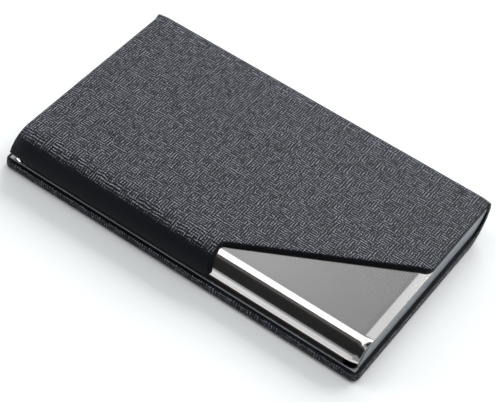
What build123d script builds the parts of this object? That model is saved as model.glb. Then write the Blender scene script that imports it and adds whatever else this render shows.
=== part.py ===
"""Slim business card case: two pressed steel shells held in one leather wrap.

Frame: millimetres, +Z up, origin on the resting surface under the middle of the case.
X runs along the case, -Y is the opening side and +Y is the spine, where the wrap folds.

The lid is a flat plate with its opening edge rolled down and a shallow bevel along both short
edges. The tray is a flat plate with its spine edge rolled up and a wall at each end. The wrap
covers the lid, folds over the spine and covers the underside, where a board stiffens it. One
corner of the lid is left bare by a diagonal cut. A bar with two magnets, glued inside the
rolled edge, holds the lid shut.
"""

import os
from math import acos, atan, cos, degrees, radians, sin, tan

from build123d import *

# ---- Overall size -------------------------------------------------------------------------
case_length = 102.0
case_width = 61.5
case_height = 10.0

# ---- Material thicknesses -----------------------------------------------------------------
sheet = 0.5                  # pressed stainless steel, lid and tray
lid_leather_thick = 1.1
spine_leather_thick = 1.2
floor_leather_thick = 0.8
board_thick = 1.5
lining_thick = 0.3
glue = 0.04                  # film of adhesive between bonded faces

# ---- Outline of the case ------------------------------------------------------------------
wrap_end_x = case_length / 2
steel_end_x = wrap_end_x - 1.0
front_y = -case_width / 2
back_y = case_width / 2
steel_back_y = back_y - spine_leather_thick

# ---- Levels -------------------------------------------------------------------------------
tray_under = floor_leather_thick + board_thick
tray_floor = tray_under + sheet
lid_top = case_height - lid_leather_thick
lid_under = lid_top - sheet

# ---- Lid: rolled front edge and bevelled short edges --------------------------------------
roll_radius = 6.7            # outside of the steel
roll_y = -23.3
roll_z = lid_top - roll_radius
steel_roll_angle = 68.5
leather_roll_angle = 71.0
bevel_width = 2.3
bevel_drop = 0.8
bevel_blend = 5.0            # radius that softens the start of the bevel
cover_bevel_drop = 0.45
lid_plate_back = 28.6
lid_leather_back = 28.0

# ---- Tray: rolled spine edge and end walls ------------------------------------------------
spine_radius = 6.1           # outside of the steel
spine_wall_top = 8.0
tray_front_y = front_y + 1.0
tray_end_x = wrap_end_x - 1.1
tray_corner_radius = 1.2
tray_bend_radius = 0.4
end_clearance = 0.2          # between the end walls and the lid's bevel
end_wall_top = lid_top - bevel_drop - sheet - end_clearance
end_wall_radius = end_wall_top - roll_z
end_wall_sweep = 72.0

# ---- Wrap under the case and up the spine -------------------------------------------------
rim_width = 1.05             # turned-up edge of the wrap round the tray
rim_corner_radius = 1.8
rim_foot_radius = 0.8
rim_top_radius = 0.4
spine_cover_radius = 8.2     # outside of the leather
spine_inner_radius = spine_cover_radius - floor_leather_thick
spine_cover_top = 7.9
spine_cover_taper = 0.3      # narrower at the fold, at each end
fold_end_x = wrap_end_x - spine_cover_taper
fold_radius = 1.2
fold_inner_radius = 0.2
board_gap = 0.1              # round the edge of the board
board_skive_top = 4.4        # how far the thinned edge of the board reaches up the spine

# ---- Diagonal cut in the lid leather ------------------------------------------------------
cut_front_x = 9.6            # where the cut crosses the front edge
cut_bend = (7.9, -24.0)      # where it turns on to the diagonal
cut_end_y = 1.5              # where it runs out at the end of the case
cut_bend_radius = 1.6
cut_tip_radius = 3.0

# ---- Magnet bar ---------------------------------------------------------------------------
bar_length = 92.0
bar_front_y = -28.9
bar_back_y = -27.1
bar_under = tray_floor + 0.15
bar_top = 5.9
bar_edge_radius = 0.2
magnet_length = 16.0
magnet_depth = 0.9
magnet_height = 1.6
magnet_x = 24.0
magnet_fit = 0.05            # clearance round a magnet in its pocket

# ---- Inner hinge strip --------------------------------------------------------------------
lining_end_x = 47.0
lining_lid_y = 18.0          # front edge, under the lid plate
lining_turn_y = 26.6         # where it leaves the lid plate
lining_turn_angle = -20.0    # where it meets the spine wall, round the spine's centre
lining_edge_angle = -45.0    # its lower edge, down the spine wall

clear = 2 * case_height      # clear of every piece, for cutters


def on_circle(centre, radius, angle):
    """A point on a circle, with the angle in degrees from the first axis."""
    return (centre[0] + radius * cos(radians(angle)), centre[1] + radius * sin(radians(angle)))


def beneath_lid(offset, half_length, drop, back, sweep):
    """Solid beneath a surface this far outside the lid plate, rolled in front, bevelled at the ends.

    The drop is what the bevel falls over its nominal width; a longer solid carries the slope on.
    A full quarter sweep goes on down past the resting surface.
    """
    radius = roll_radius + offset
    top = roll_z + radius
    lip = on_circle((roll_y, roll_z), radius, 90 + sweep)
    foot = [(roll_y, roll_z), (back, roll_z)] if sweep < 90 else [(lip[0], -clear), (back, -clear)]
    slope = drop / bevel_width
    width = half_length - steel_end_x + bevel_width - offset * tan(atan(slope) / 2)
    with BuildPart() as solid:
        with BuildSketch(Plane.YZ.offset(-half_length)):
            with BuildLine():
                Line((back, top), (roll_y, top))
                CenterArc((roll_y, roll_z), radius, 90, sweep)
                Polyline(lip, *foot, (back, top))
            make_face()
        extrude(amount=2 * half_length)
        for index in (0, -1):
            end = solid.faces().sort_by(Axis.X)[index]
            flat = end.edges().filter_by(Axis.Y).sort_by(Axis.Z)[-1]
            roll = end.edges().filter_by(GeomType.CIRCLE)[0]
            chamfer([flat, roll], length=width * slope, length2=width, reference=end)
        crease = [
            edge for edge in solid.edges()
            if abs(abs(edge.center().X) - half_length + width) < glue and edge.center().Z > roll_z
        ]
        fillet(crease, radius=bevel_blend + offset)
    return solid.part


def inside_spine(radius, under, back, top, front, half_length, end_radius=0):
    """Solid above a floor at this level that rolls up into the spine, cut off level on top.

    An end radius rounds the edges of the floor and the spine at both ends.
    """
    centre = (back - radius, under + radius)
    sweep = degrees(acos((centre[1] - top) / radius))
    with BuildPart() as solid:
        with BuildSketch(Plane.YZ.offset(-half_length)):
            with BuildLine():
                CenterArc(centre, radius, -90, sweep)
                end = on_circle(centre, radius, sweep - 90)
                Polyline(end, (front, top), (front, under), (centre[0], under))
            make_face()
        extrude(amount=2 * half_length)
        if end_radius > 0:
            arcs = solid.edges().filter_by(GeomType.CIRCLE)
            fillet(arcs + solid.edges().filter_by(Axis.Y).group_by(Axis.Z)[0], radius=end_radius)
    return solid.part


def front_corners(half_length, front, corner):
    """Solid as tall as the case, reaching this far, with its two front corners rounded."""
    with BuildPart() as solid:
        with BuildSketch(Plane.XY.offset(-case_height)):
            with BuildLine():
                FilletPolyline(
                    (half_length, case_width), (half_length, front), (-half_length, front),
                    (-half_length, case_width), radius=corner,
                )
                Line((-half_length, case_width), (half_length, case_width))
            make_face()
        extrude(amount=3 * case_height)
    return solid.part


def finish(piece, label):
    """Names a finished piece and writes it as a STEP file."""
    piece.part.label = label
    export_step(piece.part, f"parts/{label}.step")


os.makedirs("parts", exist_ok=True)

lid_outside = beneath_lid(0, steel_end_x, bevel_drop, lid_plate_back, steel_roll_angle)
lid_inside = beneath_lid(-sheet, steel_end_x + sheet, bevel_drop, back_y, 90)
cover_outside = beneath_lid(
    lid_leather_thick, steel_end_x, cover_bevel_drop, lid_leather_back, leather_roll_angle
)
cover_inside = beneath_lid(glue, steel_end_x + sheet, bevel_drop, back_y, 90)

# ---- Lid shell ----------------------------------------------------------------------------
with BuildPart() as lid_shell:
    add(lid_outside)
    add(lid_inside, mode=Mode.SUBTRACT)
finish(lid_shell, "lid_shell")

# ---- Lid leather --------------------------------------------------------------------------
with BuildPart() as lid_leather:
    add(cover_outside)
    add(cover_inside, mode=Mode.SUBTRACT)
    with BuildSketch(Plane.XY.offset(-clear)):
        with BuildLine():
            Polyline(
                (steel_end_x, back_y), (steel_end_x, cut_end_y), cut_bend, (cut_front_x, front_y),
                (-steel_end_x, front_y), (-steel_end_x, back_y), (steel_end_x, back_y),
            )
        outline = make_face()
        fillet(outline.vertices().sort_by_distance(cut_bend)[0], radius=cut_bend_radius)
        fillet(outline.vertices().sort_by_distance((steel_end_x, cut_end_y))[0], radius=cut_tip_radius)
    extrude(amount=3 * clear, mode=Mode.INTERSECT)
finish(lid_leather, "lid_leather")

# ---- Magnet bar, inside the rolled edge ---------------------------------------------------
magnet_z = bar_under + magnet_fit + magnet_height / 2
magnet_y = (bar_front_y + bar_back_y) / 2
with BuildPart() as magnet_bar:
    with Locations((0, bar_back_y, bar_under)):
        Box(bar_length, bar_back_y - bar_front_y, bar_top - bar_under,
            align=(Align.CENTER, Align.MAX, Align.MIN))
    add(beneath_lid(-sheet - glue, steel_end_x, bevel_drop, back_y, 90), mode=Mode.INTERSECT)
    fillet(magnet_bar.edges().filter_by(Axis.X).group_by(Axis.Z)[0], radius=bar_edge_radius)
    with Locations((-magnet_x, magnet_y, magnet_z), (magnet_x, magnet_y, magnet_z)):
        Box(magnet_length + 2 * magnet_fit, magnet_depth + 2 * magnet_fit,
            magnet_height + 2 * magnet_fit, mode=Mode.SUBTRACT)
finish(magnet_bar, "magnet_bar")


def magnet(x, label):
    """One block magnet in its pocket, this far along the bar."""
    with BuildPart() as block:
        with Locations((x, magnet_y, magnet_z)):
            Box(magnet_length, magnet_depth, magnet_height)
        chamfer(block.edges(), length=magnet_fit)
    finish(block, label)


magnet(-magnet_x, "magnet_left")
magnet(magnet_x, "magnet_right")

# ---- Tray ---------------------------------------------------------------------------------
tray_outside = inside_spine(
    spine_radius, tray_under, steel_back_y, spine_wall_top, tray_front_y, tray_end_x, tray_bend_radius
)
with BuildPart() as end_walls:
    with BuildSketch(Plane.YZ.offset(-tray_end_x)):
        with BuildLine():
            CenterArc((roll_y, roll_z), end_wall_radius, 90, end_wall_sweep)
            wall_foot = on_circle((roll_y, roll_z), end_wall_radius, 90 + end_wall_sweep)
            Polyline(wall_foot, (wall_foot[0], tray_under), (back_y, tray_under),
                     (back_y, end_wall_top), (roll_y, end_wall_top))
        make_face()
    extrude(amount=2 * tray_end_x)
    Box(2 * (tray_end_x - sheet), 2 * case_width, 2 * clear, mode=Mode.SUBTRACT)
    add(tray_outside, mode=Mode.INTERSECT)

with BuildPart() as base_tray:
    add(tray_outside)
    add(inside_spine(spine_radius - sheet, tray_floor, steel_back_y - sheet, spine_wall_top,
                     front_y - clear, wrap_end_x), mode=Mode.SUBTRACT)
    add(end_walls.part)
    add(front_corners(tray_end_x, tray_front_y, tray_corner_radius), mode=Mode.INTERSECT)
finish(base_tray, "base_tray")

# ---- Wrap: underside, rim and spine -------------------------------------------------------
with BuildPart() as wrap_ends:
    with BuildSketch(Plane.XZ.offset(-case_width)):
        with BuildLine():
            Polyline((-wrap_end_x, -clear), (wrap_end_x, -clear), (wrap_end_x, tray_under),
                     (fold_end_x, spine_cover_top), (-fold_end_x, spine_cover_top),
                     (-wrap_end_x, tray_under), (-wrap_end_x, -clear))
        make_face()
    extrude(amount=2 * case_width)

with BuildPart() as base_leather:
    add(inside_spine(spine_cover_radius, 0, back_y, spine_cover_top, front_y, wrap_end_x))
    add(front_corners(wrap_end_x, front_y, rim_corner_radius), mode=Mode.INTERSECT)
    foot = base_leather.faces().sort_by(Axis.Z)[0].edges().sort_by(Axis.Y)[:-1]
    spine_ends = base_leather.edges().filter_by(GeomType.CIRCLE).filter_by(Plane.YZ)
    fillet(foot + spine_ends, radius=rim_foot_radius)
    add(inside_spine(spine_radius + glue, tray_under, steel_back_y + glue, spine_wall_top,
                     front_y - clear, case_length), mode=Mode.SUBTRACT)
    rim_top = base_leather.faces().filter_by(Axis.Z).filter_by(
        lambda face: abs(face.center().Z - tray_under) < glue)
    outer_rim = rim_top.edges().filter_by(lambda edge: edge.center().Y < steel_back_y - spine_radius - glue)
    fillet(outer_rim, radius=rim_top_radius)
    add(inside_spine(spine_inner_radius, floor_leather_thick, steel_back_y, spine_wall_top,
                     front_y + rim_width, wrap_end_x - rim_width), mode=Mode.SUBTRACT)
    add(wrap_ends.part, mode=Mode.INTERSECT)
finish(base_leather, "base_leather")
# ---- Board under the tray -----------------------------------------------------------------
with BuildPart() as base_board:
    add(inside_spine(spine_inner_radius - glue, floor_leather_thick, steel_back_y - glue, board_skive_top,
                     front_y + rim_width + board_gap, wrap_end_x - rim_width - board_gap))
    add(inside_spine(spine_radius + glue, tray_under, steel_back_y + glue, spine_wall_top,
                     front_y - clear, case_length), mode=Mode.SUBTRACT)
finish(base_board, "base_board")

# ---- Wrap: the fold between the lid and the spine -----------------------------------------
with BuildPart() as hinge_leather:
    with BuildSketch(Plane.YZ.offset(-fold_end_x)):
        with BuildLine():
            Polyline((lid_leather_back, case_height), (back_y, case_height), (back_y, spine_cover_top),
                     (steel_back_y + glue, spine_cover_top), (steel_back_y + glue, lid_top + glue),
                     (lid_leather_back, lid_top + glue), (lid_leather_back, case_height))
        fold = make_face()
        fillet(fold.vertices().sort_by_distance((back_y, case_height))[0], radius=fold_radius)
        fillet(fold.vertices().sort_by_distance((steel_back_y, lid_top))[0], radius=fold_inner_radius)
    extrude(amount=2 * fold_end_x)
    add(beneath_lid(lid_leather_thick, fold_end_x, cover_bevel_drop, back_y + clear, leather_roll_angle),
        mode=Mode.INTERSECT)
    with BuildSketch(Plane.XY.offset(-clear)):
        with BuildLine():
            Polyline((-steel_end_x, lid_leather_back), (steel_end_x, lid_leather_back),
                     (fold_end_x, steel_back_y), (fold_end_x, case_width), (-fold_end_x, case_width),
                     (-fold_end_x, steel_back_y), (-steel_end_x, lid_leather_back))
        make_face()
    extrude(amount=3 * clear, mode=Mode.INTERSECT)
finish(hinge_leather, "hinge_leather")

# ---- Inner hinge strip --------------------------------------------------------------------
spine_centre = (steel_back_y - spine_radius, tray_under + spine_radius)
lining_radius = spine_radius - sheet - glue - lining_thick / 2
lining_z = lid_under - glue - lining_thick / 2
with BuildPart() as hinge_lining:
    with BuildSketch(Plane.YZ.offset(-lining_end_x)):
        with BuildLine():
            Line((lining_lid_y, lining_z), (lining_turn_y, lining_z))
            Spline(
                (lining_turn_y, lining_z), on_circle(spine_centre, lining_radius, lining_turn_angle),
                tangents=((1, 0), (sin(radians(lining_turn_angle)), -cos(radians(lining_turn_angle)))),
            )
            CenterArc(spine_centre, lining_radius, lining_turn_angle, lining_edge_angle - lining_turn_angle)
        trace(line_width=lining_thick)
    extrude(amount=2 * lining_end_x)
finish(hinge_lining, "hinge_lining")
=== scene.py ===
import math

import bmesh
import bpy
import numpy as np
from mathutils import Matrix, Vector, noise
from mathutils.geometry import delaunay_2d_cdt


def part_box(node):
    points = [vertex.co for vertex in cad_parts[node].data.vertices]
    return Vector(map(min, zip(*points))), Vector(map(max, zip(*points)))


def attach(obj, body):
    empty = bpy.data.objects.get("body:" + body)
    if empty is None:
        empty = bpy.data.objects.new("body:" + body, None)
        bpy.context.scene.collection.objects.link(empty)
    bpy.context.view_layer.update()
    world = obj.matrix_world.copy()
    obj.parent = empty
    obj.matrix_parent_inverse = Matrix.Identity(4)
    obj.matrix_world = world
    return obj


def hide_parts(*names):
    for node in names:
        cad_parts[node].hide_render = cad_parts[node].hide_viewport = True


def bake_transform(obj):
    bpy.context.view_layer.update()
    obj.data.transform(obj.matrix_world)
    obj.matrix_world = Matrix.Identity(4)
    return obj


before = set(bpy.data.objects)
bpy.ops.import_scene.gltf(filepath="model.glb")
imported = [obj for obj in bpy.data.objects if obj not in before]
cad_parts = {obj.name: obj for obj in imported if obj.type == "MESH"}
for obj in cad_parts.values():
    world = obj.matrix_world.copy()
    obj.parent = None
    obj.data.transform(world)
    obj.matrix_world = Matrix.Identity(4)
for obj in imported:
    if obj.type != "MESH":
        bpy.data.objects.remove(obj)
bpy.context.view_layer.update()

# A business card case: two steel shells in one leather wrap. The CAD nodes' boxes give the
# places, and the sizes below repeat a few of the CAD model's own.
MM = 0.001


def corners(node):
    """A CAD node's lowest and highest corners, in millimetres."""
    low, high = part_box(node)
    return np.array(low) / MM, np.array(high) / MM


SHELL_HIGH = corners("lid_shell")[1]
COVER_HIGH = corners("lid_leather")[1]
WRAP_LOW, WRAP_HIGH = corners("base_leather")
TRAY_LOW, TRAY_HIGH = corners("base_tray")
FOLD_LOW = corners("hinge_leather")[0]
TAPE_LOW, TAPE_HIGH = corners("hinge_lining")

STEEL = 0.5                                      # sheet of both shells
COVER = COVER_HIGH[2] - SHELL_HIGH[2]            # leather on the lid
ROLL_Y = -23.3                                   # where the lid starts to roll down
ROLL_R = 6.7                                     # outside of the steel
STEEL_SWEEP = math.radians(68.5)                 # how far the steel rolls
COVER_SWEEP = math.radians(71.0)                 # how far the leather goes round with it
BEVEL_WIDTH = 2.3
BEVEL_DROP, COVER_DROP = 0.8, 0.45               # fall of the bevel: steel, and leather on it
CUT_END_Y = 1.5                                  # where the diagonal cut meets the lid's end
CUT_BEND = (7.9, -24.0)                          # where it turns towards the lip
CUT_LIP_X = 9.6                                  # where it meets the lip
SPINE_R, SPINE_IN_R = 8.2, 6.1                   # outside of the leather, and of the steel
SPINE_Y, SPINE_IN_Y = 30.75, 29.55               # the backs of the same two
SPINE_SKIN = 1.2                                 # leather on the spine
SKIN = 0.8                                       # leather under the board
RIM = 1.05                                       # width of the wrap's turned-up rim
RIM_CORNER = 1.8                                 # its front corners, seen from above
UNDER = TRAY_LOW[2]                              # underside of the tray
WAIST = COVER_HIGH[0] + 0.35                     # half the width of the fold
FOOT, CROWN = 0.5, 0.4                           # rounding of the rim, below and above

SMOOTH = math.radians(34)                        # edges sharper than this are shaded as edges
QUARTER = [math.radians(a) for a in range(0, 91, 15)]
TINY = 1e-6


# ---- Sections -----------------------------------------------------------------------------
class Section:
    """A path across the case: level, then round an arc, then straight on.

    It starts at this y and level and runs towards -y or +y. Its outside faces up or down.
    """

    def __init__(self, y, level, heading, facing, flat, radius, sweep, tail=0.0):
        self.y, self.level, self.heading, self.facing = y, level, heading, facing
        self.flat, self.radius, self.sweep = flat, radius, sweep
        self.length = flat + radius * sweep + tail

    def at(self, along, out=0.0):
        """The point this far along the path and this far outside it, with its outward normal."""
        turn = min(max(0.0, along - self.flat) / self.radius, self.sweep)
        tail = max(0.0, along - self.flat - self.radius * self.sweep)
        normal = (self.heading * math.sin(turn), self.facing * math.cos(turn))
        forward = min(along, self.flat) + self.radius * math.sin(turn) + tail * math.cos(turn)
        y = self.heading * forward
        z = -self.facing * (self.radius * (1 - math.cos(turn)) + tail * math.sin(turn))
        return self.y + y + normal[0] * out, self.level + z + normal[1] * out


def ease(share):
    """A smooth step from 0 to 1."""
    share = min(max(share, 0.0), 1.0)
    return share * share * (3 - 2 * share)


def bevel(x, end):
    """How far down the bevel at a short end has gone, from 0 to 1, with a soft start."""
    soft = 0.42 * BEVEL_WIDTH
    run = abs(x) - (end - BEVEL_WIDTH)
    if run <= -soft:
        return 0.0
    if run < soft:
        return (run + soft) ** 2 / (4 * soft * BEVEL_WIDTH)
    return run / BEVEL_WIDTH


# ---- Meshes -------------------------------------------------------------------------------
def new_piece(name, points, faces, materials=(), slots=None, grain=None):
    """A smooth-shaded mesh object from points in millimetres."""
    mesh = bpy.data.meshes.new(name)
    mesh.from_pydata([Vector(p) * MM for p in points], [], faces)
    for material in materials:
        mesh.materials.append(material)
    if slots is not None:
        mesh.polygons.foreach_set("material_index", slots)
    if grain is not None:
        layer = mesh.attributes.new("grain", "FLOAT_VECTOR", "POINT")
        layer.data.foreach_set("vector", np.array(grain, np.float32).ravel())
    mesh.update()
    mesh.shade_smooth()
    mesh.set_sharp_from_angle(angle=SMOOTH)
    obj = bpy.data.objects.new(name, mesh)
    bpy.context.scene.collection.objects.link(obj)
    return obj


def rounded(points, radii, step=0.35):
    """A closed outline through these points, in order, each corner rounded to its radius."""
    out = []
    for i, (p, r) in enumerate(zip(points, radii)):
        p, a, b = Vector(p), Vector(points[i - 1]), Vector(points[(i + 1) % len(points)])
        to_a, to_b = (a - p).normalized(), (b - p).normalized()
        if r <= 0:
            corner = [p]
        else:
            half = to_a.angle(to_b) / 2
            centre = p + (to_a + to_b).normalized() * (r / math.sin(half))
            touch = r / math.tan(half)
            start, end = p + to_a * touch - centre, p + to_b * touch - centre
            sweep = start.angle(end)
            count = max(4, round(r * sweep / step * 2))
            corner = []
            for k in range(count + 1):
                t = sweep * k / count
                point = (start * math.sin(sweep - t) + end * math.sin(t)) / math.sin(sweep)
                corner.append(centre + point)
        out.append(corner)
    line = []
    for i, corner in enumerate(out):
        line += corner
        nxt = out[(i + 1) % len(out)][0]
        gap = (nxt - corner[-1]).length
        count = max(1, round(gap / step / 2))
        line += [corner[-1].lerp(nxt, k / count) for k in range(1, count)]
    return np.array([tuple(p) for p in line])


def inset(line, depth, share):
    """The outline moved inwards by this depth times each edge's share, which is 0 where it stays.

    The outline runs anticlockwise. share takes the midpoints of its edges.
    """
    if depth == 0:
        return line
    edge = np.roll(line, -1, 0) - line
    normal = np.stack([-edge[:, 1], edge[:, 0]], 1) / np.linalg.norm(edge, axis=1)[:, None]
    shift = depth * share((line + np.roll(line, -1, 0)) / 2)
    before, before_shift = np.roll(normal, 1, 0), np.roll(shift, 1)
    cross = before[:, 0] * normal[:, 1] - before[:, 1] * normal[:, 0]
    bent = np.abs(cross) > 0.5                   # a real corner, not a step of a curve
    safe = np.where(bent, cross, 1.0)
    move = np.stack([
        (before_shift * normal[:, 1] - shift * before[:, 1]) / safe,
        (shift * before[:, 0] - before_shift * normal[:, 0]) / safe,
    ], 1)
    middle = normal + before
    middle /= np.linalg.norm(middle, axis=1)[:, None]
    straight = middle * ((shift + before_shift) / 2)[:, None]
    return line + np.where(bent[:, None], move, straight)


def inside(points, line):
    """Which points lie inside a closed outline."""
    x, y = points[:, 0][:, None], points[:, 1][:, None]
    a, b = line, np.roll(line, -1, 0)
    spans = (a[:, 1] > y) != (b[:, 1] > y)
    rise = np.where(b[:, 1] == a[:, 1], 1.0, b[:, 1] - a[:, 1])
    cuts = x < (b[:, 0] - a[:, 0]) * (y - a[:, 1]) / rise + a[:, 0]
    return (spans & cuts).sum(1) % 2 == 1


def fill(line, xs, ys):
    """Points and triangles that fill an outline, with a grid of points inside it."""
    clear = 0.3                                  # the grid's points keep this far from the outline
    grid = np.array([(x, y) for x in xs for y in ys])
    grid = grid[inside(grid, line)]
    near = np.array([np.min(np.hypot(*(line - p).T)) for p in grid])
    grid = grid[near > clear]
    points = np.concatenate([line, grid])
    edges = [(i, (i + 1) % len(line)) for i in range(len(line))]
    found = delaunay_2d_cdt([Vector(p) for p in points], edges, [], 1, TINY)
    where = [ids[0] for ids in found[3]]
    return points, [[where[i] for i in face] for face in found[2]]


def sheet_piece(name, line, rings, place, xs, ys, materials, edge_ring, share, wear, scale=1.0):
    """A closed sheet from a flat outline: rings of (inset, height) from its face round to its back.

    place turns (x, along, height) into a point, and scale is a height of 1 in millimetres. xs and
    ys are the grid inside the outline. Faces past edge_ring take the second material. The grain
    is laid out flat: x, distance along, and wear, which is how far the emboss is pressed out at
    each ring. The last wear goes on for any further rings.
    """
    points, faces, slots, grain = [], [], [], []
    loops = [inset(line, depth, share) for depth, _ in rings]
    count = len(line)
    unrolled = rings[0][0]
    for k, (loop, (depth, height)) in enumerate(zip(loops, rings)):
        points += [place(u, v, height) for u, v in loop]
        if k:
            unrolled -= math.hypot(depth - rings[k - 1][0], (height - rings[k - 1][1]) * scale)
        grain += [(u, v, wear[min(k, len(wear) - 1)]) for u, v in inset(line, unrolled, share)]
    for k in range(len(rings) - 1):
        a, b = k * count, (k + 1) * count
        for i in range(count):
            j = (i + 1) % count
            faces.append((a + i, b + i, b + j, a + j))
            slots.append(1 if k >= edge_ring else 0)
    for k, flip in ((0, False), (len(rings) - 1, True)):
        filled, triangles = fill(loops[k], xs, ys)
        first = len(points)
        index = [k * count + i if i < count else first + i - count for i in range(len(filled))]
        points += [place(u, v, rings[k][1]) for u, v in filled[count:]]
        grain += [(u, v, 1.0 if flip else wear[0]) for u, v in filled[count:]]
        for tri in triangles:
            faces.append([index[i] for i in (reversed(tri) if flip else tri)])
            slots.append(1 if flip else 0)
    obj = new_piece(name, points, faces, materials, slots, grain)
    face_outwards(obj.data)
    return obj


def press_out(obj, start, end):
    """Fades most of a sheet's emboss away between two distances along it, and the ridges' painted
    highlight with it, so the sheet goes to the furrows' dark colour there: painted shade.
    """
    most = 0.70
    for point in obj.data.attributes["grain"].data:
        x, along, worn = point.vector
        point.vector = (x, along, max(worn, most * ease((along - start) / (end - start))))


def face_outwards(mesh):
    """Turns every face of a closed mesh outwards."""
    made = bmesh.new()
    made.from_mesh(mesh)
    bmesh.ops.recalc_face_normals(made, faces=made.faces)
    made.to_mesh(mesh)
    made.free()


def grid_piece(name, xs, steps, place, thickness, edge, materials, offset=-1):
    """A thin piece: a grid over xs and steps, given a thickness and softened cut edges.

    The cut edges take the last material.
    """
    points = [place(x, v) for x in xs for v in steps]
    grain = [(x, v, 0) for x in xs for v in steps]
    rows = len(steps)
    faces = [
        (i * rows + j, i * rows + j + 1, (i + 1) * rows + j + 1, (i + 1) * rows + j)
        for i in range(len(xs) - 1) for j in range(rows - 1)
    ]
    obj = new_piece(name, points, faces, materials, grain=grain)
    solid = obj.modifiers.new("sheet", "SOLIDIFY")
    solid.thickness, solid.offset, solid.use_even_offset = thickness * MM, offset, True
    solid.material_offset_rim = len(materials) - 1
    soft = obj.modifiers.new("edge", "BEVEL")
    soft.width, soft.segments, soft.limit_method = edge * MM, 3, "ANGLE"
    soft.angle_limit = math.radians(50)
    settle(obj)
    return obj


def settle(obj):
    """Applies an object's modifiers to its mesh."""
    graph = bpy.context.evaluated_depsgraph_get()
    mesh = bpy.data.meshes.new_from_object(obj.evaluated_get(graph))
    obj.modifiers.clear()
    obj.data = mesh
    mesh.shade_smooth()
    mesh.set_sharp_from_angle(angle=SMOOTH)


def spread(low, high, step):
    """Even steps from low to high, no wider than step."""
    return np.linspace(low, high, max(1, math.ceil((high - low) / step)) + 1)


# ---- Materials ----------------------------------------------------------------------------
class Nodes:
    """Short names for building a material's node tree."""

    def __init__(self, name):
        self.material = bpy.data.materials.new(name)
        self.material.use_nodes = True
        self.tree = self.material.node_tree
        self.shader = self.tree.nodes["Principled BSDF"]

    def add(self, kind, **settings):
        node = self.tree.nodes.new("ShaderNode" + kind)
        for key, value in settings.items():
            setattr(node, key, value)
        return node

    def link(self, source, target):
        self.tree.links.new(source, target)

    def set(self, **values):
        for key, value in values.items():
            self.shader.inputs[key.replace("_", " ")].default_value = value

    def math(self, operation, a, b=None, c=None):
        node = self.add("Math", operation=operation)
        for socket, value in zip(node.inputs, (a, b, c)):
            if value is None:
                continue
            if isinstance(value, (int, float)):
                socket.default_value = value
            else:
                self.link(value, socket)
        return node.outputs[0]

    def scaled(self, vector, x, y, z=1.0):
        node = self.add("VectorMath", operation="MULTIPLY")
        self.link(vector, node.inputs[0])
        node.inputs[1].default_value = (x, y, z)
        return node.outputs[0]

    def noise(self, vector, scale, detail):
        node = self.add("TexNoise")
        self.link(vector, node.inputs["Vector"])
        node.inputs["Scale"].default_value = scale
        node.inputs["Detail"].default_value = detail
        return node.outputs["Fac"]

    def spread(self, value, low, high, new_low=0.0, new_high=1.0):
        """A smooth step from new_low to new_high as the value goes from low to high."""
        node = self.add("MapRange", interpolation_type="SMOOTHSTEP")
        self.link(value, node.inputs["Value"])
        keys = ("From Min", "From Max", "To Min", "To Max")
        for key, number in zip(keys, (low, high, new_low, new_high)):
            node.inputs[key].default_value = number
        return node.outputs["Result"]

    def mix(self, fac, a, b):
        """Colour a where fac is 0, and b where it is 1."""
        node = self.add("Mix", data_type="RGBA")
        self.link(fac, node.inputs["Factor"])
        for socket, value in zip((node.inputs["A"], node.inputs["B"]), (a, b)):
            socket.default_value = (*value, 1.0)
        for output in node.outputs:
            if output.type == "RGBA":
                return output

    def bump(self, height, depth):
        """Relief this deep, in millimetres, where the height goes from 0 to 1."""
        node = self.add("Bump")
        node.inputs["Strength"].default_value = 1.0
        node.inputs["Distance"].default_value = depth * MM
        self.link(height, node.inputs["Height"])
        self.link(node.outputs["Normal"], self.shader.inputs["Normal"])


def weave_height(n, grain, pitch):
    """Patches of short ridges that run along the case in places and across it in others."""
    drift = n.noise(grain, 0.40, 2.0)
    wander = n.math("MULTIPLY", n.math("SUBTRACT", drift, 0.5), 7.0)
    axes = n.add("SeparateXYZ")
    n.link(grain, axes.inputs[0])
    ridges = []
    for across, stretch in (("Y", (0.50, 1.3 / pitch, 0)), ("X", (1.3 / pitch, 0.50, 0))):
        phase = n.math("ADD", n.math("MULTIPLY", axes.outputs[across], 2 * math.pi / pitch), wander)
        wave = n.math("POWER", n.math("MULTIPLY_ADD", n.math("SINE", phase), 0.5, 0.5), 1.5)
        dashes = n.spread(n.noise(n.scaled(grain, *stretch), 1.0, 2.0), 0.30, 0.66, 0.35, 1.0)
        ridges.append(n.math("MULTIPLY", wave, dashes))
    patches = n.spread(n.noise(grain, 0.42, 2.0), 0.42, 0.58, 0.12, 0.88)
    along = n.math("MULTIPLY", ridges[0], patches)
    over = n.math("MULTIPLY", ridges[1], n.math("SUBTRACT", 1.0, patches))
    fine = n.spread(n.noise(grain, 3.2, 2.0), 0.32, 0.68, 0.45, 1.35)
    return n.math("MULTIPLY", n.math("ADD", n.math("ADD", along, over), 0.12), fine)


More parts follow.
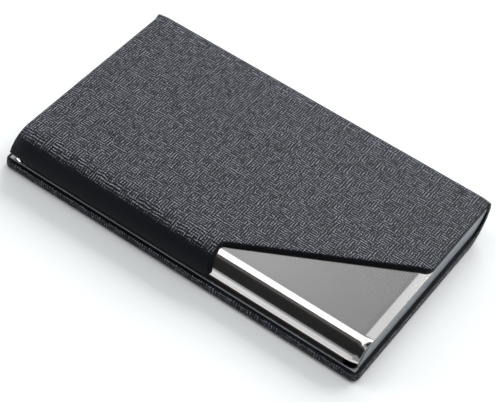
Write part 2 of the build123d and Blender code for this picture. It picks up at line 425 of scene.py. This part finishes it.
def leather_material():
    """Charcoal imitation leather, embossed like linen. The ridges' light colour is painted highlight
    and the furrows' near-black is painted shade, laid over the bump.

    The emboss is pressed out towards the edges, where the wrap is turned over and burnished, and faded
    along the lid's roll; its painted highlight goes with it, so those parts take the furrows' dark
    colour.
    """
    n = Nodes("wrap_leather")
    layout = n.add("Attribute", attribute_name="grain").outputs["Vector"]
    grain = n.scaled(layout, 1, 1, 0)
    axes = n.add("SeparateXYZ")
    n.link(layout, axes.inputs[0])
    # Where kept falls, the bump and the painted ridge highlight fade together.
    kept = n.spread(axes.outputs["Z"], 0.02, 0.75, 1.0, 0.05)
    height = n.math("MULTIPLY", weave_height(n, grain, 0.66), kept)
    painted_ridge_light = n.spread(height, 0.20, 1.10)
    # Base colour from near-black in the furrows to light on the ridges: painted shade in the furrows,
    # painted highlight on the ridges.
    n.link(n.mix(painted_ridge_light, (0.0060, 0.0063, 0.0090), (0.345, 0.358, 0.415)), n.shader.inputs["Base Color"])
    wear = n.noise(grain, 0.05, 3.0)
    rough = n.math("MULTIPLY_ADD", wear, 0.12, 0.42)
    n.link(n.math("MULTIPLY_ADD", painted_ridge_light, -0.14, rough), n.shader.inputs["Roughness"])
    n.set(Specular_IOR_Level=0.12)
    n.bump(height, 0.16)
    return n.material


def leather_edge_material():
    """The wrap's painted edges and its back: matt black with a fibrous surface."""
    n = Nodes("leather_edge")
    place = n.add("TexCoord").outputs["Object"]
    fibre = n.noise(n.scaled(place, 2500, 2500, 5000), 1.0, 3.0)
    n.link(n.mix(fibre, (0.004, 0.004, 0.005), (0.014, 0.014, 0.016)), n.shader.inputs["Base Color"])
    n.link(n.math("MULTIPLY_ADD", fibre, 0.25, 0.42), n.shader.inputs["Roughness"])
    n.bump(fibre, 0.02)
    return n.material


def steel_material():
    """Mirror-polished stainless steel with faint polishing haze."""
    n = Nodes("polished_steel")
    place = n.add("TexCoord").outputs["Object"]
    haze = n.noise(place, 60.0, 3.0)
    n.link(n.mix(haze, (0.715, 0.66, 0.64), (0.75, 0.69, 0.67)), n.shader.inputs["Base Color"])
    n.link(n.math("MULTIPLY_ADD", haze, 0.04, 0.08), n.shader.inputs["Roughness"])
    n.set(Metallic=1.0)
    n.bump(n.noise(place, 260.0, 2.0), 0.0015)
    return n.material


def satin_material():
    """Steel with a satin finish and a fine vertical grain: the end walls and all cut edges. Its
    blue-grey, mostly diffuse colour is a painted reflection of the shaded floor beside the case.
    """
    n = Nodes("satin_steel")
    place = n.add("TexCoord").outputs["Object"]
    lines = n.noise(n.scaled(place, 6000, 6000, 500), 1.0, 3.0)
    # Blue-grey base colour with little metal: painted reflection of the shaded floor, laid on as
    # colour.
    n.link(n.mix(lines, (0.22, 0.24, 0.265), (0.28, 0.305, 0.335)), n.shader.inputs["Base Color"])
    n.link(n.math("MULTIPLY_ADD", lines, 0.10, 0.40), n.shader.inputs["Roughness"])
    n.set(Metallic=0.2)
    n.bump(lines, 0.003)
    return n.material


def plastic_material():
    """Black moulded bar with a fine spark-eroded texture."""
    n = Nodes("bar_plastic")
    place = n.add("TexCoord").outputs["Object"]
    texture = n.noise(place, 9000.0, 2.0)
    n.link(n.mix(texture, (0.006, 0.006, 0.006), (0.016, 0.016, 0.017)), n.shader.inputs["Base Color"])
    n.link(n.math("MULTIPLY_ADD", texture, 0.2, 0.45), n.shader.inputs["Roughness"])
    n.bump(texture, 0.01)
    return n.material


def nickel_material():
    """Nickel plating on the magnets, a little cloudy."""
    n = Nodes("magnet_nickel")
    cloud = n.noise(n.add("TexCoord").outputs["Object"], 700.0, 3.0)
    n.link(n.mix(cloud, (0.50, 0.48, 0.44), (0.62, 0.60, 0.56)), n.shader.inputs["Base Color"])
    n.link(n.math("MULTIPLY_ADD", cloud, 0.15, 0.2), n.shader.inputs["Roughness"])
    n.set(Metallic=1.0)
    return n.material


def board_material():
    """Dense grey board with short fibres."""
    n = Nodes("board")
    fibre = n.noise(n.scaled(n.add("TexCoord").outputs["Object"], 900, 2600, 2600), 1.0, 4.0)
    n.link(n.mix(fibre, (0.10, 0.095, 0.09), (0.22, 0.21, 0.20)), n.shader.inputs["Base Color"])
    n.set(Roughness=0.85)
    n.bump(fibre, 0.03)
    return n.material


def tape_material():
    """Black ribbed tape: fine ribs across the hinge, crossed by threads."""
    n = Nodes("lining_tape")
    grain = n.add("Attribute", attribute_name="grain").outputs["Vector"]
    axes = n.add("SeparateXYZ")
    n.link(grain, axes.inputs[0])
    rib = n.math("SINE", n.math("MULTIPLY", axes.outputs["X"], 2 * math.pi / 0.5))
    thread = n.math("SINE", n.math("MULTIPLY", axes.outputs["Y"], 2 * math.pi / 0.3))
    height = n.math("MULTIPLY_ADD", n.math("MULTIPLY", rib, thread), 0.5, 0.5)
    n.link(n.mix(height, (0.007, 0.007, 0.008), (0.03, 0.03, 0.033)), n.shader.inputs["Base Color"])
    n.set(Roughness=0.8)
    n.bump(height, 0.04)
    return n.material


def floor_material():
    """White sweep of matt paper."""
    n = Nodes("paper_floor")
    mottle = n.noise(n.add("TexCoord").outputs["Object"], 25.0, 3.0)
    n.link(n.mix(mottle, (0.92, 0.92, 0.92), (0.94, 0.94, 0.94)), n.shader.inputs["Base Color"])
    n.set(Roughness=0.7, Specular_IOR_Level=0.2)
    return n.material


leather, leather_edge = leather_material(), leather_edge_material()
steel, satin = steel_material(), satin_material()


# ---- Lid ----------------------------------------------------------------------------------
def lid_section(back):
    """The steel lid's outer surface, from this y to its lip."""
    sweep = STEEL_SWEEP if back > COVER_HIGH[1] + 0.1 else COVER_SWEEP
    return Section(back, SHELL_HIGH[2], -1, 1, back - ROLL_Y, ROLL_R, sweep)


def lid_plate():
    """Pressed lid: flat, rolled down along the front, bevelled along both short ends."""
    path = lid_section(SHELL_HIGH[1])
    end = SHELL_HIGH[0]
    inner = end - 2 * BEVEL_WIDTH
    fine, coarse = 0.12, 4.0
    corner_x = 40                                # the grid is closer from here to the bare corner
    xs = np.concatenate([
        -spread(inner, end, fine)[::-1], spread(-inner, corner_x, coarse)[1:],
        spread(corner_x, inner, 0.5)[1:-1], spread(inner, end, fine),
    ])
    steps = np.concatenate([
        spread(0, path.flat - 1, coarse), spread(path.flat, path.length, fine),
    ])
    reach, inwards, downwards = 2.8, 0.4, 0.5    # the corner's length, and how far it goes
    turned, lip = 26, 68                         # degrees of roll where it is full, and ends

    def place(x, v):
        """The bare front corner is pressed round: drawn in, and down along the top of the roll."""
        turn = math.degrees((v - path.flat) / ROLL_R)
        near = min(max((x - end) / reach + 1, 0.0), 1.0)
        corner = ease(turn / turned)
        dip = downwards * corner * (1 - ease(turn / lip)) * near ** 2.5
        fall = BEVEL_DROP * bevel(x, end) + dip
        return (x - inwards * corner * ease(near), *path.at(v, -fall))

    return grid_piece("lid_plate", xs, steps, place, STEEL, 0.08, [steel, satin])


def cover_drop(x, height):
    """How far the bevel lowers the lid's leather, at this height above the steel."""
    drop = BEVEL_DROP + (COVER_DROP - BEVEL_DROP) * height / COVER
    return drop * bevel(x, SHELL_HIGH[0])


def lid_cover():
    """The wrap on the lid, cut away on the diagonal, its outer edges turned over softly."""
    path = lid_section(COVER_HIGH[1])
    end = COVER_HIGH[0]
    edge = 0.9                                   # radius of the soft edge, along the cut
    outline = rounded(
        [
            (-end, 0), (end, 0), (end, path.y - CUT_END_Y), (CUT_BEND[0], path.y - CUT_BEND[1]),
            (CUT_LIP_X, path.length), (-end, path.length),
        ],
        [0, 0, 3.0, 1.6, 1.0, 0],
    )
    turn = QUARTER[::-1]
    rings = [(edge * (1 - math.cos(t)), COVER - edge + edge * math.sin(t)) for t in turn]
    rings += [(0.0, 0.1), (0.1, 0.03)]
    wear = [1 - depth / edge for depth, _ in rings]

    def share(middle):
        """Nothing at the fold, a tight turn along the lip and the ends, a soft one along the cut."""
        x, v = middle[:, 0], middle[:, 1]
        away = np.minimum(end - np.abs(x), path.length - v)
        return np.where(v < TINY, 0.0, 0.4 + 0.6 * np.clip(away / 2.5, 0, 1))

    def place(x, v, height):
        swell = 0.03 * noise.noise(Vector((x * 0.045, v * 0.06, 3.0))) * height / COVER
        return (x, *path.at(v, height - cover_drop(x, height) + swell))

    xs = spread(-end, end, 1.0)
    ys = np.concatenate([spread(0, path.flat, 1.0), spread(path.flat, path.length, 0.35)[1:]])
    piece = sheet_piece(
        "lid_cover", outline, rings, place, xs, ys, [leather, leather_edge], len(turn), share, wear,
    )
    # Over the roll the emboss is drawn flatter where the leather is stretched, and its painted ridge
    # highlight fades out, so the lower roll is darker: painted shade where it turns from the light.
    press_out(piece, path.flat + 2.2, path.flat + 5.2)
    return piece


plate, cover = lid_plate(), lid_cover()
lid_pieces = (
    (plate, "lid_shell", "polished_steel"),
    (cover, "lid_leather", "wrap_leather"),
)
for piece, node, finish in lid_pieces:
    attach(piece, "lid")
    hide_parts(node)

# ---- Base ---------------------------------------------------------------------------------
base_path = Section(
    WRAP_LOW[1], 0.0, 1, -1, SPINE_Y - SPINE_R - WRAP_LOW[1], SPINE_R,
    math.acos((SPINE_R - WRAP_HIGH[2]) / SPINE_R),
)


def rim_height(v):
    """How thick the wrap's rim is: the gap between its outside and the tray, along the base."""
    y, z = base_path.at(v)
    turn = max(0.0, v - base_path.flat) / SPINE_R
    centre = (SPINE_IN_Y - SPINE_IN_R, UNDER + SPINE_IN_R)
    if turn == 0:
        return UNDER
    direction = (-math.sin(turn), math.cos(turn))
    to_centre = (centre[0] - y, centre[1] - z)
    nearest = to_centre[0] * direction[0] + to_centre[1] * direction[1]
    off = to_centre[0] ** 2 + to_centre[1] ** 2 - nearest ** 2
    if off >= SPINE_IN_R ** 2:
        return SPINE_SKIN
    return nearest - math.sqrt(SPINE_IN_R ** 2 - off)


def wrap_base():
    """The wrap under the case and up the spine, with its turned-up rim."""
    end = WRAP_HIGH[0]
    top = base_path.length
    outline = rounded(
        [
            (-end, 0), (end, 0), (end, base_path.flat), (WAIST, top), (-WAIST, top),
            (-end, base_path.flat),
        ],
        [RIM_CORNER, RIM_CORNER, 0, 0, 0, 0],
    )
    foot = [(FOOT * (1 - math.sin(t)), FOOT * (1 - math.cos(t)) / UNDER) for t in QUARTER]
    crown = [(CROWN * (1 - math.cos(t)), 1 - (CROWN - CROWN * math.sin(t)) / UNDER) for t in QUARTER]
    rings = foot + crown + [(RIM, 1.0), (RIM + 0.02, SKIN / UNDER)]
    leather_rings = len(foot) + len(crown)
    wear = [0.0] * 5 + [0.3] * 4 + [0.0] * 3 + [0.5] * 2 + [1.0] * 2

    def place(x, v, share):
        return (x, *base_path.at(v, -share * rim_height(v)))

    xs = spread(-end, end, 1.0)
    ys = np.concatenate([spread(0, base_path.flat, 1.0), spread(base_path.flat, top, 0.4)[1:]])
    return sheet_piece(
        "wrap_base", outline, rings, place, xs, ys, [leather, leather_edge], leather_rings,
        lambda middle: np.where(middle[:, 1] > top - TINY, 0.0, 1.0), wear, UNDER,
    )


# ---- The fold between them ----------------------------------------------------------------
def fold_strip():
    """The stretch of the wrap that bends when the case opens, from the lid over to the spine."""
    flat, turn_r, top = 1.55, 1.2, COVER_HIGH[2]
    path = Section(FOLD_LOW[1], top, 1, 1, flat, turn_r, math.pi / 2, top - turn_r - FOLD_LOW[2])
    narrow, end, long = COVER_HIGH[0], WAIST, path.length
    outline = rounded(
        [(-narrow, 0), (narrow, 0), (end, flat), (end, long), (-end, long), (-end, flat)],
        [0] * 6, 0.12,
    )
    edge, thick = 0.8, 1.0
    turn = QUARTER[::-1]
    rings = [(edge * (1 - math.cos(t)), edge * math.sin(t) - edge) for t in turn]
    rings += [(0.0, 0.05 - thick), (0.1, -thick)]
    wear = [1 - depth / edge for depth, _ in rings]

    def share(middle):
        """Nothing where it joins the lid's leather and the spine's, and a tight turn at its ends."""
        v = middle[:, 1]
        return np.where((v < TINY) | (v > long - TINY), 0.0, 0.4)

    def place(x, v, height):
        fade = 1 - min(1.0, v / long) ** 2
        return (x, *path.at(v, height - COVER_DROP * bevel(x, narrow) * fade))

    xs = spread(-end, end, 1.0)
    ys = spread(0, long, 0.22)[1:-1]
    return sheet_piece(
        "fold_strip", outline, rings, place, xs, ys, [leather, leather_edge], len(turn), share, wear,
    )


def tape_line():
    """The inner hinge tape's middle: under the lid, slack across the gap and down the spine."""
    clear = 0.19                                 # half the tape's thickness, and a little more
    lid_z = SHELL_HIGH[2] - STEEL - clear
    radius = SPINE_IN_R - STEEL - clear
    centre = Vector((TRAY_HIGH[1] - SPINE_IN_R, UNDER + SPINE_IN_R))
    start, turn = TAPE_LOW[1], 26.6              # its front edge, and where it leaves the lid
    # On the spine wall it lies from 20 to 45 degrees below level.
    angles = [math.radians(a) for a in np.linspace(-20, -45, 9)]
    arc = [centre + Vector((math.cos(a), math.sin(a))) * radius for a in angles]
    heading = Vector((math.sin(angles[0]), -math.cos(angles[0])))
    reach = 1.4                                  # pull of the free part's curve at its two ends
    knots = [Vector((turn, lid_z)), Vector((turn + reach, lid_z)), arc[0] - heading * reach, arc[0]]
    line = [Vector((y, lid_z)) for y in np.linspace(start, turn, 12)]
    for t in np.linspace(0, 1, 13)[1:-1]:
        weights = [(1 - t) ** 3, 3 * t * (1 - t) ** 2, 3 * t * t * (1 - t), t ** 3]
        line.append(sum((k * w for k, w in zip(knots, weights)), Vector((0, 0))))
    return line + arc


def lining_tape():
    """Ribbed tape across the inside of the hinge, a little wavy where it is slack, and its length."""
    line = tape_line()
    along = [0.0]
    for a, b in zip(line, line[1:]):
        along.append(along[-1] + (b - a).length)

    slack_at, slack_width, slack_depth = 10.3, 1.2, 0.12

    def place(x, v):
        y = np.interp(v, along, [p.x for p in line])
        z = np.interp(v, along, [p.y for p in line])
        slack = math.exp(-((v - slack_at) / slack_width) ** 2)
        wave = 1 + noise.noise(Vector((x * 0.15, 0.0, 5.0)))
        return (x, y - slack_depth * slack * wave, z)

    xs = spread(-TAPE_HIGH[0], TAPE_HIGH[0], 1.5)
    thick, edge, middle = 0.3, 0.05, 0
    obj = grid_piece("lining_tape", xs, along, place, thick, edge, [tape_material()], middle)
    return obj, along[-1]


wrap = wrap_base()
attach(wrap, "base")
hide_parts("base_leather")

fold = fold_strip()
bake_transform(fold)
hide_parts("hinge_leather")

tape, tape_length = lining_tape()
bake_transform(tape)
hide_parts("hinge_lining")


# ---- Tray ---------------------------------------------------------------------------------
def tray_plate():
    """The tray's floor, rolled up into the spine wall at the back."""
    radius = SPINE_IN_R
    front, back = TRAY_LOW[1], TRAY_HIGH[1] - radius
    sweep = math.acos((UNDER + radius - TRAY_HIGH[2]) / radius)
    path = Section(front, UNDER, 1, -1, back - front, radius, sweep)
    end = TRAY_HIGH[0]
    steps = np.concatenate([spread(0, path.flat, 4.0), spread(path.flat, path.length, 0.3)[1:]])

    def place(x, v):
        return (x, *path.at(v))

    return grid_piece("tray_plate", spread(-end, end, 4.0), steps, place, STEEL, 0.06, [steel, satin])


def tray_end(name, side):
    """One end wall of the tray: rounded in front to follow the lid's roll, and against the spine."""
    lid_gap, tray_gap = 0.2, 0.05                # below the lid, and inside the tray's outside
    top, radius = SHELL_HIGH[2] - BEVEL_DROP - STEEL - lid_gap, SPINE_IN_R - tray_gap
    roll_z = SHELL_HIGH[2] - ROLL_R
    centre = (TRAY_HIGH[1] - SPINE_IN_R, UNDER + SPINE_IN_R)
    front = [
        (ROLL_Y - (top - roll_z) * math.sin(a), roll_z + (top - roll_z) * math.cos(a))
        for a in np.radians(range(0, 73, 6))
    ]
    high = math.asin((top - centre[1]) / radius)
    spine = [
        (centre[0] + radius * math.cos(a), centre[1] + radius * math.sin(a))
        for a in np.linspace(-math.pi / 2, high, 16)
    ]
    foot = [(front[-1][0], UNDER + tray_gap)]
    outline = rounded(foot + spine + front, [0] * (1 + len(spine) + len(front)), 0.5)
    turn = [math.radians(a) for a in (90, 60, 30, 0)]
    soft = 0.1
    rings = [(soft * (1 - math.cos(t)), STEEL - soft + soft * math.sin(t)) for t in turn]
    rings += [(soft * (1 - math.cos(t)), soft - soft * math.sin(t)) for t in reversed(turn)]
    inner = TRAY_HIGH[0] - STEEL
    return sheet_piece(
        name, outline, rings, lambda y, z, height: (side * (inner + height), y, z),
        spread(-28, 29, 2.0), spread(3, 7, 1.0), [satin, satin], len(rings),
        lambda middle: np.ones(len(middle)), [0.0],
    )


tray_pieces = [tray_plate(), tray_end("tray_end_left", -1), tray_end("tray_end_right", 1)]
for piece in tray_pieces:
    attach(piece, "base")
    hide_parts("base_tray")

# ---- Carried-over CAD nodes ---------------------------------------------------------------
plastic, nickel, board = plastic_material(), nickel_material(), board_material()
finishes = {"magnet_bar": plastic, "magnet_left": nickel, "magnet_right": nickel, "base_board": board}
for name, material in finishes.items():
    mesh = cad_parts[name].data
    mesh.materials.clear()
    mesh.materials.append(material)

# ---- Camera -------------------------------------------------------------------------------
AZIMUTH, ELEVATION, ROLL = (math.radians(a) for a in (26.66, 46.88, 10.88))
DISTANCE, LENS = 0.42126, 125.17
AIM = Vector((0.00102, -0.00072, 0.0))


def add_camera():
    """Camera at the viewing angle, looking at a point near the middle of the case."""
    back = Vector((
        math.sin(AZIMUTH) * math.cos(ELEVATION),
        -math.cos(AZIMUTH) * math.cos(ELEVATION),
        math.sin(ELEVATION),
    ))
    camera = bpy.data.objects.new("camera", bpy.data.cameras.new("camera"))
    camera.data.lens = LENS
    camera.data.sensor_width = 36.0
    camera.data.clip_start, camera.data.clip_end = 0.01, 20.0
    turn = back.to_track_quat("Z", "Y").to_matrix() @ Matrix.Rotation(ROLL, 3, "Z")
    camera.matrix_world = Matrix.Translation(AIM + back * DISTANCE) @ turn.to_4x4()
    bpy.context.scene.collection.objects.link(camera)
    bpy.context.scene.camera = camera


add_camera()


# ---- Studio -------------------------------------------------------------------------------
def softbox(name, place, aim, width, height, radiance, colour=(1, 1, 1)):
    """A flat soft light of this radiance."""
    light = bpy.data.lights.new(name, "AREA")
    light.shape, light.size, light.size_y = "RECTANGLE", width, height
    light.energy = radiance * math.pi * width * height
    light.color = colour
    obj = bpy.data.objects.new(name, light)
    obj.location = place
    obj.rotation_mode = "QUATERNION"
    obj.rotation_quaternion = (Vector(place) - Vector(aim)).to_track_quat("Z", "Y")
    bpy.context.scene.collection.objects.link(obj)


def plane(name, place, width, depth, material):
    """A flat stage plane, level."""
    x, y = width / 2, depth / 2
    mesh = bpy.data.meshes.new(name)
    mesh.from_pydata([(-x, -y, 0), (x, -y, 0), (x, y, 0), (-x, y, 0)], [], [(0, 1, 2, 3)])
    mesh.materials.append(material)
    obj = bpy.data.objects.new(name, mesh)
    obj.location = place
    bpy.context.scene.collection.objects.link(obj)
    return obj


def flag_material():
    """Dull black card."""
    n = Nodes("black_card")
    n.set(Base_Color=(0.008, 0.008, 0.008, 1), Roughness=0.9)
    return n.material


def gradient_world(left, right, left_x, right_x, tint):
    """Surroundings of one radiance on the left and another on the right, blended in between."""
    world = bpy.data.worlds.new("studio")
    world.use_nodes = True
    tree = world.node_tree
    place, axes, turn, mix = (
        tree.nodes.new("ShaderNode" + kind) for kind in ("TexCoord", "SeparateXYZ", "MapRange", "Mix")
    )
    mix.data_type = "RGBA"
    turn.interpolation_type = "SMOOTHSTEP"
    tree.links.new(place.outputs["Generated"], axes.inputs[0])
    tree.links.new(axes.outputs["X"], turn.inputs["Value"])
    turn.inputs["From Min"].default_value, turn.inputs["From Max"].default_value = left_x, right_x
    tree.links.new(turn.outputs["Result"], mix.inputs["Factor"])
    for socket, level in ((mix.inputs["A"], left), (mix.inputs["B"], right)):
        socket.default_value = (*(level * c for c in tint), 1.0)
    out = [o for o in mix.outputs if o.type == "RGBA"][0]
    tree.links.new(out, tree.nodes["Background"].inputs["Color"])
    return world


def overhead(name, y_from, y_to, x_from, x_to, height, radiance, colour=(1, 1, 1)):
    """A level soft light that covers these ranges of y / z and x / z, as seen from the case."""
    place = ((x_from + x_to) / 2 * height, (y_from + y_to) / 2 * height - 0.02, height)
    size = ((x_to - x_from) * height, (y_to - y_from) * height)
    softbox(name, place, (place[0], place[1], 0), *size, radiance, colour)


plane("floor", (0, 0, -0.0002), 8, 8, floor_material())
# A black card in front of the case gives the polished roll its dark band.
flag = plane("flag", (0, -1.18, 0.9), 3.4, 2.05, flag_material())
flag.visible_camera = False
COOL = (0.90, 0.98, 1.0)
# The key light is the roll's white band, and the two after it are the band's soft front edge.
# The back card is seen in the bevel, and the front card in the lower part of the roll.
overhead("key", -0.16, 0.29, -1.2, 1.2, 1.0, 1.6)
overhead("key_edge", -0.23, -0.16, -1.2, 1.2, 0.97, 0.6)
overhead("key_falloff", -0.38, -0.23, -1.2, 1.2, 0.85, 0.10, COOL)
overhead("back_card", 0.45, 1.3, 0.18, 1.1, 1.0, 0.56, COOL)
softbox("front_card", (-0.6, -2.6, 0.33), (0, 0, 0.33), 3.6, 0.64, 0.54, COOL)
softbox("main", (0, 1.6, 0.95), (0, 0, 0), 2.2, 0.9, 6.5)
softbox("left_fill", (-1.5, -0.5, 0.55), (0, 0, 0), 1.1, 0.7, 4.5)

bpy.context.scene.world = gradient_world(0.53, 0.33, -0.31, -0.19, (0.88, 0.975, 1.0))
bpy.context.scene.view_settings.view_transform = "Standard"

bpy.context.view_layer.update()
